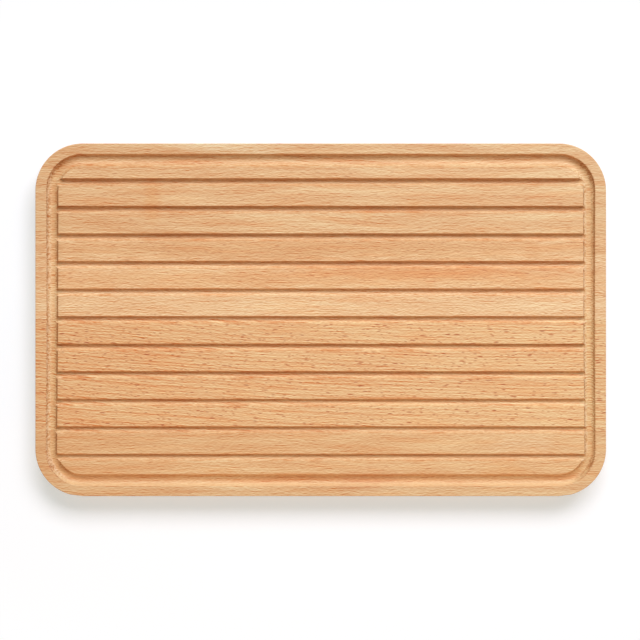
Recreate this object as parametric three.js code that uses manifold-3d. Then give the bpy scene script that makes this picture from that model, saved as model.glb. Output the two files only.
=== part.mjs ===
// A bread board of edge-glued beech staves, with crumb grooves that drain into a channel round its rim.
// Millimetres, +Z up. The board lies flat on the XY plane with its middle over the origin.
// X runs along the grain and the grooves, and +Y is the rear edge.
import * as THREE from "three";
import { mergeVertices, toCreasedNormals } from "three/addons/utils/BufferGeometryUtils.js";
import Module from "manifold-3d";

// Board
const BOARD_LENGTH = 400;
const BOARD_WIDTH = 247.2;
const BOARD_THICKNESS = 20;
const CORNER_RADIUS = 33;
const EDGE_ROUNDING = 0.6;

// Where the staves are glued to each other, from the board's middle line
const REAR_JOINT_Y = 59;
const MIDDLE_JOINT_Y = 0.4;
const FRONT_JOINT_Y = -78.2;

// Channel round the rim, cut by a round-nosed bit whose centre keeps one distance from the board's edge
const CHANNEL_INSET = 11.6;
const CHANNEL_BIT_RADIUS = 4.5;
const CHANNEL_DEPTH = 3.9;

// Crumb grooves, cut by a smaller round-nosed bit from one side of the channel to the other
const GROOVE_PITCH = 19.3;
const GROOVE_BIT_RADIUS = 2.65;
const GROOVE_DEPTH = 3.4;
const NARROWEST_SLAT = 6;

// How far a cutting body runs on past the wood
const OVERRUN = 2;

// Facets, and the angle between two of them from which an edge shows as sharp
const CORNER_STEPS = 6;
const EDGE_STEPS = 3;
const BIT_STEPS = 7;
const CREASE_ANGLE = Math.PI / 6;

// Oiled beech
const BEECH_ROUGHNESS = 0.55;
const BEECH_METALNESS = 0;

// The staves from the rear edge to the front edge, each with its reach along Y and its colour.
// The two outermost reach past the board's edge.
const STAVES = [
  { name: "rear_stave", rear: BOARD_WIDTH / 2 + OVERRUN, front: REAR_JOINT_Y, colour: 0xe6b88a },
  { name: "rear_middle_stave", rear: REAR_JOINT_Y, front: MIDDLE_JOINT_Y, colour: 0xe9b985 },
  { name: "front_middle_stave", rear: MIDDLE_JOINT_Y, front: FRONT_JOINT_Y, colour: 0xe6b381 },
  { name: "front_stave", rear: FRONT_JOINT_Y, front: -BOARD_WIDTH / 2 - OVERRUN, colour: 0xe1af80 },
];

const solids = await Module();
solids.setup();

// The solid of a closed geometry.
function solidOf(geometry) {
  const bare = geometry.clone();
  bare.deleteAttribute("normal");
  bare.deleteAttribute("uv");
  const merged = mergeVertices(bare);
  return new solids.Manifold(
    new solids.Mesh({
      numProp: 3,
      vertProperties: merged.attributes.position.array,
      triVerts: new Uint32Array(merged.index.array),
    }),
  );
}

// The geometry of a solid, smooth over its curves and sharp at its edges.
function geometryOf(solid) {
  const mesh = solid.getMesh();
  const geometry = new THREE.BufferGeometry();
  geometry.setAttribute("position", new THREE.BufferAttribute(mesh.vertProperties, mesh.numProp));
  geometry.setIndex(new THREE.BufferAttribute(mesh.triVerts, 1));
  return toCreasedNormals(geometry, CREASE_ANGLE);
}

// The board's outline drawn in by a distance: a rectangle with an arc of the same centre at each corner.
function outlineInsetBy(inset) {
  const radius = CORNER_RADIUS - inset;
  const centreX = BOARD_LENGTH / 2 - CORNER_RADIUS;
  const centreY = BOARD_WIDTH / 2 - CORNER_RADIUS;
  const outline = new THREE.Shape();
  outline.absarc(centreX, centreY, radius, 0, Math.PI / 2);
  outline.absarc(-centreX, centreY, radius, Math.PI / 2, Math.PI);
  outline.absarc(-centreX, -centreY, radius, Math.PI, (3 * Math.PI) / 2);
  outline.absarc(centreX, -centreY, radius, (3 * Math.PI) / 2, 2 * Math.PI);
  outline.closePath();
  return outline;
}

// The section of a round-nosed bit with its lowest point at a depth under the board's face:
// half a circle, with straight sides that run on up past the face. x is across, y is up from the face.
function bitSection(radius, depth) {
  const top = radius + OVERRUN;
  const section = new THREE.Shape();
  section.moveTo(radius, top);
  section.lineTo(-radius, top);
  section.absarc(0, radius - depth, radius, Math.PI, 2 * Math.PI);
  section.closePath();
  return section;
}

// The points of a closed outline, without the last one, which repeats the first.
function pointsAround(outline, steps) {
  return outline.getPoints(steps).slice(0, -1);
}

// The planed and glued panel, cut to its outline, with both faces' edges rounded over.
function boardBlank() {
  const blank = new THREE.ExtrudeGeometry(outlineInsetBy(0), {
    depth: BOARD_THICKNESS - 2 * EDGE_ROUNDING,
    curveSegments: CORNER_STEPS,
    bevelThickness: EDGE_ROUNDING,
    bevelSize: EDGE_ROUNDING,
    bevelOffset: -EDGE_ROUNDING,
    bevelSegments: EDGE_STEPS,
  });
  blank.translate(0, 0, EDGE_ROUNDING);
  return solidOf(blank);
}

// The body that the channel's bit sweeps: one loop of the outline for each point of the bit's section,
// joined to the next loop all the way round the section.
function channelSweep() {
  const section = pointsAround(bitSection(CHANNEL_BIT_RADIUS, CHANNEL_DEPTH), BIT_STEPS);
  const loops = section.map((point) => pointsAround(outlineInsetBy(CHANNEL_INSET - point.x), CORNER_STEPS));
  const loopLength = loops[0].length;
  const positions = loops.flatMap((loop, level) =>
    loop.flatMap((point) => [point.x, point.y, BOARD_THICKNESS + section[level].y]),
  );
  const triangles = [];
  for (let level = 0; level < loops.length; level += 1) {
    const nextLevel = (level + 1) % loops.length;
    for (let step = 0; step < loopLength; step += 1) {
      const nextStep = (step + 1) % loopLength;
      const here = level * loopLength + step;
      const along = level * loopLength + nextStep;
      const up = nextLevel * loopLength + step;
      const upAlong = nextLevel * loopLength + nextStep;
      triangles.push(here, along, upAlong, here, upAlong, up);
    }
  }
  const sweep = new THREE.BufferGeometry();
  sweep.setAttribute("position", new THREE.Float32BufferAttribute(positions, 3));
  sweep.setIndex(triangles);
  return solidOf(sweep);
}

// The bodies that the groove bit sweeps, as one solid. Each runs between the centre lines of the
// channel's two short sides, so that it opens into the deeper channel at both ends.
function grooveSweeps() {
  const length = BOARD_LENGTH - 2 * CHANNEL_INSET;
  const section = bitSection(GROOVE_BIT_RADIUS, GROOVE_DEPTH);
  const sweep = new THREE.ExtrudeGeometry(section, {
    depth: length,
    curveSegments: BIT_STEPS,
    bevelEnabled: false,
  });
  // The section's x turns to the board's Y, its y to Z, and the length to X.
  sweep.rotateX(Math.PI / 2);
  sweep.rotateZ(Math.PI / 2);
  sweep.translate(-length / 2, 0, BOARD_THICKNESS);

  const roomEachSide = BOARD_WIDTH / 2 - CHANNEL_INSET - CHANNEL_BIT_RADIUS;
  const groovesEachSide = Math.floor((roomEachSide - GROOVE_BIT_RADIUS - NARROWEST_SLAT) / GROOVE_PITCH);
  let grooves = null;
  for (let index = -groovesEachSide; index <= groovesEachSide; index += 1) {
    const groove = solidOf(sweep.clone().translate(0, index * GROOVE_PITCH, 0));
    grooves = grooves ? grooves.add(groove) : groove;
  }
  return grooves;
}

// The full-length slab of space that one stave keeps of the machined board.
function slabOf(stave) {
  const slab = new THREE.BoxGeometry(
    BOARD_LENGTH + 2 * OVERRUN,
    stave.rear - stave.front,
    BOARD_THICKNESS + 2 * OVERRUN,
  );
  slab.translate(0, (stave.front + stave.rear) / 2, BOARD_THICKNESS / 2);
  return solidOf(slab);
}

// The staves, glued edge to edge and then machined together as one panel.
function buildBoard() {
  const machined = boardBlank().subtract(grooveSweeps()).subtract(channelSweep());
  const board = new THREE.Group();
  for (const stave of STAVES) {
    const wood = new THREE.MeshStandardMaterial({
      color: stave.colour,
      roughness: BEECH_ROUGHNESS,
      metalness: BEECH_METALNESS,
    });
    const mesh = new THREE.Mesh(geometryOf(machined.intersect(slabOf(stave))), wood);
    mesh.name = stave.name;
    board.add(mesh);
  }
  return board;
}

export default buildBoard();
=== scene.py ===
"""A bread board of edge-glued beech staves, with crumb grooves that drain into a channel round its rim."""

import logging
import math
from dataclasses import dataclass, replace
from enum import Enum

import bpy
import numpy as np
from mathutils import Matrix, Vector


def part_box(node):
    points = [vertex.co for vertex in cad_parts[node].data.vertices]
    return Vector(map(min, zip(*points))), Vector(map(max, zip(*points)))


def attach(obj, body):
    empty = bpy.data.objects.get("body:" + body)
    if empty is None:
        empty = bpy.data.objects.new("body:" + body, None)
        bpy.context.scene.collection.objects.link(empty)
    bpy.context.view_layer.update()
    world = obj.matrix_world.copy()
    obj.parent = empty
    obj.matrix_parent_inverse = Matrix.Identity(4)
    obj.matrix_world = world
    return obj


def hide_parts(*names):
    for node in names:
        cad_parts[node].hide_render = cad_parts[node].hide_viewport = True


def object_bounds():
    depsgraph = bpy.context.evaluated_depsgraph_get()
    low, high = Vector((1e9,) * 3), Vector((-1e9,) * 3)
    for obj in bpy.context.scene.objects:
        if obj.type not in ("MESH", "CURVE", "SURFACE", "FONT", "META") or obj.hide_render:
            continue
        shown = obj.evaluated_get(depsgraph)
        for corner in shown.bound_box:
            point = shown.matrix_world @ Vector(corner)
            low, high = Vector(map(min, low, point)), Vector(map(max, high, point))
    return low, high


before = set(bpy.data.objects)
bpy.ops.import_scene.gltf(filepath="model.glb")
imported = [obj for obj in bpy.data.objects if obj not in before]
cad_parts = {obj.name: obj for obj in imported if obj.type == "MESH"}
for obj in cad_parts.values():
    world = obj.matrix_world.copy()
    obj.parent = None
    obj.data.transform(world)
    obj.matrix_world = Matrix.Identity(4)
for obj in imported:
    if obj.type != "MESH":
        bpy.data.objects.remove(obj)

CAD_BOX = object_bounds()
BODY = "root"
MM = 0.001
PER_METRE = 1000.0
HAIR = 0.001 * MM

Colour = tuple[float, float, float]
Size = tuple[float, float, float]
Span = tuple[float, float]
WHITE = (1.0, 1.0, 1.0)
log = logging.getLogger("bread_board")


class Patch(Enum):
    """A patch of a stave's skin that is laid flat by itself: its name, and the share of full size it gets."""

    RIGHT_HALF = ("right half", 1.0)
    LEFT_HALF = ("left half", 1.0)
    UNDERSIDE = ("underside", 0.5)
    REAR_JOINT = ("rear joint", 0.3)
    FRONT_JOINT = ("front joint", 0.3)

    @property
    def share(self) -> float:
        """The share of full size that the patch is laid at."""
        return self.value[1]


class Mark(Enum):
    """What the mesh carries at its points for its material, with distances in millimetres.

    The outer lip's distance is counted inward and the inner lip's outward, so both rise into the channel.
    """

    CUT = "cut"
    LIP = "lip"
    OUTER_LIP = "outer_lip"
    INNER_LIP = "inner_lip"
    CROSSING = "crossing"


class Signal:
    """A number that varies over a surface. Arithmetic on signals adds Math nodes to their graph."""

    def __init__(self, graph: "ShaderGraph", socket: bpy.types.NodeSocket) -> None:
        """Keeps the graph, and the output socket that the signal stands for."""
        self.graph = graph
        self.socket = socket

    def _math(self, operation: str, *terms: "Signal | float", clamp: bool = False) -> "Signal":
        """The result of one Math node, which takes its terms in order."""
        settings = {"operation": operation, "use_clamp": clamp}
        return self.graph.node("ShaderNodeMath", settings, dict(enumerate(terms)))

    def __add__(self, other: "Signal | float") -> "Signal":
        """The sum of two signals."""
        return self._math("ADD", self, other)

    def __radd__(self, other: float) -> "Signal":
        """The sum of a number and a signal."""
        return self._math("ADD", other, self)

    def __sub__(self, other: "Signal | float") -> "Signal":
        """The difference of two signals."""
        return self._math("SUBTRACT", self, other)

    def __rsub__(self, other: float) -> "Signal":
        """A number less a signal."""
        return self._math("SUBTRACT", other, self)

    def __mul__(self, other: "Signal | float") -> "Signal":
        """The product of two signals."""
        return self._math("MULTIPLY", self, other)

    def __rmul__(self, other: float) -> "Signal":
        """The product of a number and a signal."""
        return self._math("MULTIPLY", other, self)

    def __truediv__(self, other: "Signal | float") -> "Signal":
        """The quotient of two signals."""
        return self._math("DIVIDE", self, other)

    def __rtruediv__(self, other: float) -> "Signal":
        """A number divided by a signal."""
        return self._math("DIVIDE", other, self)

    def __abs__(self) -> "Signal":
        """The size of a signal without its sign."""
        return self._math("ABSOLUTE", self)

    def __mod__(self, period: float) -> "Signal":
        """What is left of a signal after whole periods, never below zero."""
        return self._math("FLOORED_MODULO", self, period)

    def hypotenuse(self, other: "Signal") -> "Signal":
        """The straight distance that two signals at right angles make."""
        return self._math("SQRT", self * self + other * other)

    def clamped(self) -> "Signal":
        """A signal kept between 0 and 1."""
        return self._math("ADD", self, 0.0, clamp=True)

    def at_least(self, other: "Signal | float") -> "Signal":
        """The higher of two signals."""
        return self._math("MAXIMUM", self, other)

    def rise(self, low: "Signal | float", high: "Signal | float") -> "Signal":
        """A soft step from 0 at low to 1 at high, which falls if high lies below low."""
        sockets = {"Value": self, "From Min": low, "From Max": high}
        return self.graph.node("ShaderNodeMapRange", {"interpolation_type": "SMOOTHSTEP"}, sockets)

    def beside(self, output: str | int) -> "Signal":
        """Another output of the same node."""
        return Signal(self.graph, self.socket.node.outputs[output])


class ShaderGraph:
    """The node tree of one material or world."""

    def __init__(self, tree: bpy.types.NodeTree) -> None:
        """Empties a node tree and takes it over."""
        self.tree = tree
        tree.nodes.clear()

    def node(
        self,
        kind: str,
        settings: dict[str, object] | None = None,
        sockets: dict[str | int, object] | None = None,
        output: str | int = 0,
    ) -> Signal:
        """Adds one node.

        Args:
            kind: The node's type.
            settings: Values of the node's own properties, set first.
            sockets: Values or signals of its input sockets, by name or number.
            output: The output that is returned, by name or number.

        Returns:
            The chosen output, or a signal without a socket if the node has none.
        """
        made = self.tree.nodes.new(kind)
        for name, value in (settings or {}).items():
            setattr(made, name, value)
        for name, value in (sockets or {}).items():
            socket = made.inputs[name]
            if isinstance(value, Signal):
                self.tree.links.new(value.socket, socket)
            else:
                socket.default_value = self._fitted(value, socket)
        return Signal(self, made.outputs[output] if len(made.outputs) else None)

    @staticmethod
    def _fitted(value: object, socket: bpy.types.NodeSocket) -> object:
        """A plain value in the length that a socket takes, with full alpha for a colour."""
        return (*value, 1.0) if socket.type == "RGBA" and len(value) == 3 else value

    def vector(self, x: Signal | float, y: Signal | float, z: Signal | float) -> Signal:
        """Three numbers joined to a vector."""
        return self.node("ShaderNodeCombineXYZ", sockets={0: x, 1: y, 2: z})

    def parts(self, vector: Signal) -> tuple[Signal, Signal, Signal]:
        """A vector's x, y and z."""
        first = self.node("ShaderNodeSeparateXYZ", sockets={0: vector})
        return first, first.beside(1), first.beside(2)

    def moved(self, operation: str, vector: Signal, other: Signal | Size) -> Signal:
        """A vector after one Vector Math node."""
        return self.node("ShaderNodeVectorMath", {"operation": operation}, {0: vector, 1: other})

    def noise(self, place: Signal, detail: float = 1.0, rough: float = 0.5) -> Signal:
        """Cloudy noise round a half, in cells one unit wide, with some layers of finer detail."""
        sockets = {"Vector": place, "Scale": 1.0, "Detail": detail, "Roughness": rough}
        return self.node("ShaderNodeTexNoise", {"noise_dimensions": "3D"}, sockets)

    def mix(self, share: Signal | float, first: Signal | Colour, second: Signal | Colour) -> Signal:
        """The first colour with a share of the second in it."""
        return self._blend("MIX", share, first, second)

    def tint(self, share: Signal | float, base: Signal | Colour, filter_colour: Signal | Colour) -> Signal:
        """A colour seen through a share of a filter."""
        return self._blend("MULTIPLY", share, base, filter_colour)

    def _blend(
        self, mode: str, share: Signal | float, first: Signal | Colour, second: Signal | Colour
    ) -> Signal:
        """Adds one Mix node for colours.

        Args:
            mode: The way the colours are blended.
            share: The factor.
            first: The colour under A.
            second: The colour under B.

        Returns:
            The blended colour.
        """
        settings = {"data_type": "RGBA", "blend_type": mode, "clamp_factor": True}
        factor, first_colour, second_colour, result = 0, 6, 7, 2
        sockets = {factor: share, first_colour: first, second_colour: second}
        return self.node("ShaderNodeMix", settings, sockets, result)


@dataclass(frozen=True)
class Wash:
    """A colour that filters or covers the wood, not at all where its span begins and fully where it ends."""

    span: Span
    colour: Colour
    strength: float = 1.0
    covers: bool = False


class Surface:
    """A point of a stave as its material sees it, and its colour so far. Lengths are in millimetres."""

    def __init__(self, graph: ShaderGraph) -> None:
        """Reads where the point is and which way it faces.

        Args:
            graph: The material's graph.
        """
        self.graph = graph
        place = graph.node("ShaderNodeTexCoord", output="Object")
        sockets = {0: place, "Scale": PER_METRE}
        self.place = graph.node("ShaderNodeVectorMath", {"operation": "SCALE"}, sockets)
        self.x, self.y, self.z = graph.parts(self.place)
        self.sideways, self.rearward, _ = graph.parts(place.beside("Normal"))
        self.along, self.across = self.x, self.y
        self.colour: Signal | Colour = WHITE

    def marked(self, mark: Mark) -> Signal:
        """A number that the mesh carries at its points."""
        return self.graph.node("ShaderNodeAttribute", {"attribute_name": mark.value}, output="Fac")

    def noise(
        self, size: Size, shift: Size = (0.0, 0.0, 0.0), detail: float = 1.0, rough: float = 0.5
    ) -> Signal:
        """Cloudy noise all through the wood, in cells of a given size."""
        cells = self.graph.moved("DIVIDE", self.place, size)
        return self.graph.noise(self.graph.moved("ADD", cells, shift), detail, rough)

    def tint(self, share: Signal, filter_colour: Colour) -> None:
        """Sees the colour so far through a share of a filter."""
        self.colour = self.graph.tint(share, self.colour, filter_colour)

    def wash(self, kind: Wash, signal: Signal, where: Signal | float = 1.0) -> None:
        """Lays a wash over the colour so far.

        Args:
            kind: The wash.
            signal: What rises through its span.
            where: The share of the wash that a place may get.
        """
        share = signal.rise(*kind.span) * kind.strength * where
        blend = self.graph.mix if kind.covers else self.graph.tint
        self.colour = blend(share, self.colour, kind.colour)


@dataclass(frozen=True)
class Flecks:
    """Short dark dashes along the grain, where rays and pores come to the surface.

    Lengths are in millimetres. A dash's height is counted in its own widths.
    """

    length: float
    width: float
    share: float
    strength: float
    tint: Colour = (0.72, 0.47, 0.35)
    widths_high: float = 1.2
    least_reach: float = 0.26
    more_reach: float = 0.24
    core: float = 0.4
    softness: float = 0.03
    faintest: float = 0.35

    def mask(self, skin: Surface, shift: float) -> Signal:
        """Where the dashes are.

        Args:
            skin: The point of the surface.
            shift: How far the pattern is moved, so that no two are alike.

        Returns:
            1 on a dash and 0 off it, times the strength of that dash.
        """
        along, across = skin.along / self.length + shift, skin.across / self.width + shift
        place = skin.graph.vector(along, across, skin.z / (self.widths_high * self.width) + shift)
        settings = {"voronoi_dimensions": "3D", "feature": "F1"}
        sockets = {"Vector": place, "Scale": 1.0}
        spot = skin.graph.node("ShaderNodeTexVoronoi", settings, sockets, "Distance")
        size, chance, depth = skin.graph.parts(spot.beside("Color"))
        reach = self.least_reach + self.more_reach * size
        present = chance.rise(self.share + self.softness, self.share - self.softness)
        strength = (self.faintest + (1.0 - self.faintest) * depth) * self.strength
        return spot.rise(reach, reach * self.core) * present * strength


@dataclass(frozen=True)
class Streak:
    """A soft, ragged stretch of wood in another tint. Its place and reach are in millimetres."""

    middle: Span
    reach: Span
    tint: Colour
    strength: float
    rag_size: Span = (16.0, 3.5)
    rag: float = 1.6
    fade: Span = (1.2, 0.3)

    def near(self, skin: Surface, seed: float, number: int) -> Signal:
        """How strongly the streak colours a point.

        Args:
            skin: The point of the surface.
            seed: What sets the stave apart from the others.
            number: The streak's number on its stave.

        Returns:
            The streak's share there.
        """
        length, width = self.rag_size
        place = skin.graph.vector(skin.x / length + number, skin.y / width, seed + number)
        ragged = skin.graph.noise(place, detail=2.0, rough=0.6)
        side = (skin.x - self.middle[0]) / self.reach[0]
        off = (skin.y - self.middle[1]) / self.reach[1]
        distance = side.hypotenuse(off) + self.rag * (ragged - 0.5)
        return distance.rise(*self.fade) * self.strength


@dataclass(frozen=True)
class Teeth:
    """A row of small teeth torn at some distance from a lip. Lengths are in millimetres."""

    place: float
    fade: Span
    size: Span
    dots: Span
    shift: float = 0.0

    def near(self, lip: Signal) -> Signal:
        """How near a point is to the row."""
        return abs(lip - self.place).rise(*self.fade)

    def dotted(self, skin: Surface, lip: Signal, seed: float) -> Signal:
        """How far a point lies in one of the row's teeth."""
        place = skin.graph.vector(lip / self.size[0], skin.y / self.size[1], seed + self.shift)
        return skin.graph.noise(place, rough=0.6).rise(*self.dots)


@dataclass(frozen=True)
class TornLips:
    """The channel's two lips, torn where the cutter crossed the grain."""

    outer_row: Teeth = Teeth(0.55, (1.0, 0.4), (1.6, 0.75), (0.44, 0.6))
    second_row: Teeth = Teeth(2.0, (0.6, 0.2), (1.6, 0.75), (0.5, 0.62))
    inner_row: Teeth = Teeth(0.75, (0.95, 0.4), (1.2, 0.6), (0.42, 0.6), shift=3.0)
    corner_chips: Teeth = Teeth(1.1, (1.9, 0.8), (1.6, 1.5), (0.45, 0.52), shift=5.0)
    outer_everywhere: float = 0.25
    outer_facing_right: float = 0.45
    facing_right: Span = (0.05, 0.4)
    second_share: float = 0.55
    inner_everywhere: float = 0.75
    straight: Span = (97.0, 88.0)
    corner_begins: Span = (0.1, 0.45)
    corner_ends: Span = (1.0, 0.85)
    corner_share: float = 1.7

    def mask(self, skin: Surface, seed: float) -> Signal:
        """Where the lips are torn.

        Args:
            skin: The point of the surface.
            seed: What sets the stave apart from the others.

        Returns:
            1 in a tooth and 0 away from the lips.
        """
        outer, inner = skin.marked(Mark.OUTER_LIP), skin.marked(Mark.INNER_LIP)
        everywhere = self.outer_everywhere + self.outer_facing_right * skin.sideways.rise(*self.facing_right)
        first = self.outer_row.near(outer) * everywhere.at_least(self.outer_row.dotted(skin, outer, seed))
        second = self.second_row.near(outer) * self.second_row.dotted(skin, outer, seed) * self.second_share
        teeth = self.inner_row.dotted(skin, inner, seed)
        inner_share = self.inner_everywhere + (1.0 - self.inner_everywhere) * teeth
        third = self.inner_row.near(inner) * abs(skin.y).rise(*self.straight) * inner_share
        crossing = skin.marked(Mark.CROSSING)
        in_corner = crossing.rise(*self.corner_begins) * crossing.rise(*self.corner_ends)
        chips = self.corner_chips.near(outer) * self.corner_chips.dotted(skin, outer, seed) * in_corner
        return (first.at_least(second).at_least(third) * crossing).at_least(self.corner_share * chips)


@dataclass(frozen=True)
class CutBeech:
    """Beech in the channel and the grooves, drier and rougher than the sanded face.

    Walls of the cuts that face the front carry painted shade, and walls that face the rear carry painted
    light; the strip of the channel along the front edge has its own strengths of both.
    """

    sawn: Colour = (0.93, 0.97, 0.965)
    rough_crossing: Span = (0.03, 0.5)
    speck_size: Size = (1.8, 1.6, 1.8)
    lowest: Span = (0.5, 0.15)
    rear_light: float = 0.7
    lit: Span = (0.1, 0.6)
    # Painted shade: duller, warmer specks on the floor of cuts that cross the grain.
    painted_floor_shade_specks: Wash = Wash((0.35, 0.55), (1.0, 0.96, 0.92))
    # Painted light: pale specks on the walls of cuts that face the lamp.
    painted_lit_specks: Wash = Wash((0.38, 0.62), (0.88, 0.68, 0.45), 0.55, covers=True)
    dark_specks: Wash = Wash((0.42, 0.3), (0.86, 0.7, 0.55), 0.6)
    # Painted shade: a darker, warmer tint on walls of cuts that face the front, away from the lamp.
    painted_shade: Wash = Wash((0.1, -0.8), (1.0, 0.85, 0.72))
    # Painted light: a cooler tint on walls of cuts that face the rear, toward the lamp.
    painted_lit_wall: Wash = Wash((0.1, 0.7), (0.93, 0.98, 1.0))
    front_strip: Span = (-98.0, -108.0)
    # Painted shade on front-facing walls in the channel along the front edge.
    front_painted_shade: Wash = Wash((0.45, -0.2), (1.0, 0.85, 0.72), 0.8)
    # Painted highlight: a paler cover on rear-facing walls in the channel along the front edge.
    front_painted_highlight: Wash = Wash((0.25, 0.7), (0.79, 0.56, 0.3), 0.55, covers=True)

    def dress(self, skin: Surface, cut: Signal) -> None:
        """Colours the walls and floors of the cuts.

        Args:
            skin: The point of the surface.
            cut: 1 in a cut and 0 on the flat wood.
        """
        specks = skin.noise(self.speck_size, rough=0.6)
        crossing = skin.marked(Mark.CROSSING).rise(*self.rough_crossing)
        rough = cut * crossing
        skin.tint(rough, self.sawn)
        # Painted shade on the floor of a cut that crosses the grain, where its faces look up.
        skin.wash(self.painted_floor_shade_specks, specks, rough * abs(skin.sideways).rise(*self.lowest))
        # Painted light: pale specks where a cut that crosses the grain faces the lamp, to the right and the
        # rear.
        lit = (skin.sideways + self.rear_light * skin.rearward).rise(*self.lit)
        skin.wash(self.painted_lit_specks, specks, rough * lit)
        skin.wash(self.dark_specks, specks, rough)
        front = skin.y.rise(*self.front_strip)
        # Painted shade on walls of cuts that face the front, away from the lamp.
        skin.wash(self.painted_shade, skin.rearward, cut * (1.0 - front))
        # Painted light: a cooler tint on walls that face the lamp, where the cut runs along the grain.
        skin.wash(self.painted_lit_wall, skin.rearward, cut * (1.0 - crossing) * (1.0 - front))
        # Painted shade and painted highlight, with their own strengths, in the channel along the front edge.
        skin.wash(self.front_painted_shade, skin.rearward, cut * front)
        skin.wash(self.front_painted_highlight, skin.rearward, cut * front)


@dataclass(frozen=True)
class Beech:
    """Finely sanded beech with an oil finish, as one stave was sawn from its log. Lengths are in millimetres.

    The tones say how far the green of the wood goes up and down, as shares of itself. Its red follows
    less, and its blue more. The wood's layers are counted from the height of the board's face. The
    reliefs say how far each trait stands out of the surface or lies in it.
    """

    pale: Colour
    heart: Span
    ring_width: float
    seed: float
    band_tone: float
    flecks: tuple[Flecks, ...]
    streaks: tuple[Streak, ...] = ()
    follow: Colour = (0.4, 1.0, 1.62)
    tone_range: float = 0.7

    slope: float = 0.0
    bend: float = 0.0
    sway: float = 7.0
    sway_size: Size = (110.0, 55.0, 55.0)
    ripple: float = 0.8
    ripple_size: Size = (10.0, 9.0, 9.0)

    ring_tone: float = 0.08
    mean_ring: float = 0.4
    ring_waver: float = 1.7
    waver_rings: float = 4.0
    late_wood: Span = (0.1, 0.9)
    ring_end: Span = (1.0, 0.9)
    faintest_ring: float = 0.3

    line: Span = (10.0, 0.85)
    line_tone: float = 0.55
    least_lines: float = 0.25
    more_lines: float = 1.5
    uneven_size: Size = (28.0, 9.0, 9.0)
    dark_line: Span = (-0.1, -0.25)
    dark_tone: float = 0.26
    fibre: Span = (2.6, 0.72)
    fibre_tone: float = 1.0
    fibre_shift: float = 5.0
    widths_high: float = 1.3
    widths_beside: float = 0.6

    face_height: float = 20.0
    face_layer: float = 20.0 / 9.0
    layer_height: float = 1.8
    band_width: float = 4.6
    band_length: float = 60.0
    cloud_tone: float = 0.14
    cloud_size: Size = (34.0, 14.0, 20.0)
    # The right side is painted lighter: partly the wood's own change, partly painted light from the lamp,
    # which stands to the right.
    right_tone_and_light: float = 0.06
    half_length: float = 200.0
    warm_size: Span = (45.0, 3.4)
    warm: Wash = Wash((0.45, 0.75), (1.0, 0.88, 0.78), 0.8)

    fleck_shift: float = 7.0
    flecks_lost_in_cut: float = 0.5
    facing_end: Span = (0.25, 0.9)
    pore_size: Size = (1.3, 0.8, 0.8)
    end_pores: Wash = Wash((0.4, 0.65), (0.88, 0.8, 0.72))
    torn_pores: Span = (0.54, 0.66)
    lips: TornLips = TornLips()
    torn: Colour = (0.76, 0.6, 0.48)
    cuts: CutBeech = CutBeech()
    # A slight grey tint outside the channel, on the rim, edges, sides and underside, except the front rim.
    outside_tint: Wash = Wash((0.3, -0.3), (0.96, 0.97, 0.98))
    # Painted light: a cool tint on the front rim and front edge that offsets the warm reflector's light
    # there.
    front_rim_painted_cool_light: Wash = Wash((0.3, -0.3), (0.97, 1.03, 1.1))
    front_rim: Span = (-108.0, -119.0)
    glue: Wash = Wash((0.22, 0.06), (0.8, 0.62, 0.5), 0.5)

    gloss: float = 0.45
    matt: float = 0.5
    fibre_matt: float = 0.1
    cut_matt: float = 0.07
    end_matt: float = 0.08
    lip_matt: float = -0.08
    fibre_relief: float = 0.4
    line_relief: float = 0.4
    fleck_relief: float = -0.5
    torn_relief: float = -0.8
    ring_relief: float = -0.2
    relief_strength: float = 0.5
    relief_height: float = 0.025 * MM

    def material(self, name: str, joints: tuple[float, ...]) -> bpy.types.Material:
        """Makes the material.

        Args:
            name: The material's name.
            joints: The glue lines' places across the board.

        Returns:
            The material.
        """
        made, graph = blank_material(name)
        skin = Surface(graph)
        skin.along, skin.across = self._grain(skin)
        cut = skin.marked(Mark.CUT)
        ring = self._rings(skin)
        lines = self._fine(skin, skin.across, self.line)
        fibres = self._fine(skin, skin.across + self.fibre_shift, self.fibre)
        self._tone(skin, ring, lines, fibres)
        dashes = self._fleck(skin, cut)
        end = abs(skin.sideways).rise(*self.facing_end)
        pores = skin.noise(self.pore_size, detail=2.0, rough=0.7)
        skin.wash(self.end_pores, pores, end)
        torn = self.lips.mask(skin, self.seed).at_least(pores.rise(*self.torn_pores) * end * cut)
        skin.tint(torn, self.torn)
        self.cuts.dress(skin, cut)
        on_front_rim = skin.y.rise(*self.front_rim)
        outer_lip = skin.marked(Mark.OUTER_LIP)
        # A slight grey tint outside the channel, except on the front rim.
        skin.wash(self.outside_tint, outer_lip, 1.0 - on_front_rim)
        # Painted light: a cool tint on the front rim that offsets the warm reflector's light.
        skin.wash(self.front_rim_painted_cool_light, outer_lip, on_front_rim)
        for joint in joints:
            skin.wash(self.glue, abs(skin.y - joint))

        matt = self.matt + self.fibre_matt * fibres + self.cut_matt * cut
        matt = matt + self.end_matt * end + self.lip_matt * skin.marked(Mark.LIP)
        relief = self.fibre_relief * fibres + self.line_relief * lines + self.ring_relief * ring
        relief = relief + self.fleck_relief * dashes + self.torn_relief * torn
        heights = {"Strength": self.relief_strength, "Distance": self.relief_height, "Height": relief}
        bump = graph.node("ShaderNodeBump", sockets=heights, output="Normal")
        looks = {"Base Color": skin.colour, "Roughness": matt, "Normal": bump}
        looks["Specular IOR Level"] = self.gloss
        shader = graph.node("ShaderNodeBsdfPrincipled", sockets=looks)
        graph.node("ShaderNodeOutputMaterial", sockets={"Surface": shader})
        return made

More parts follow.
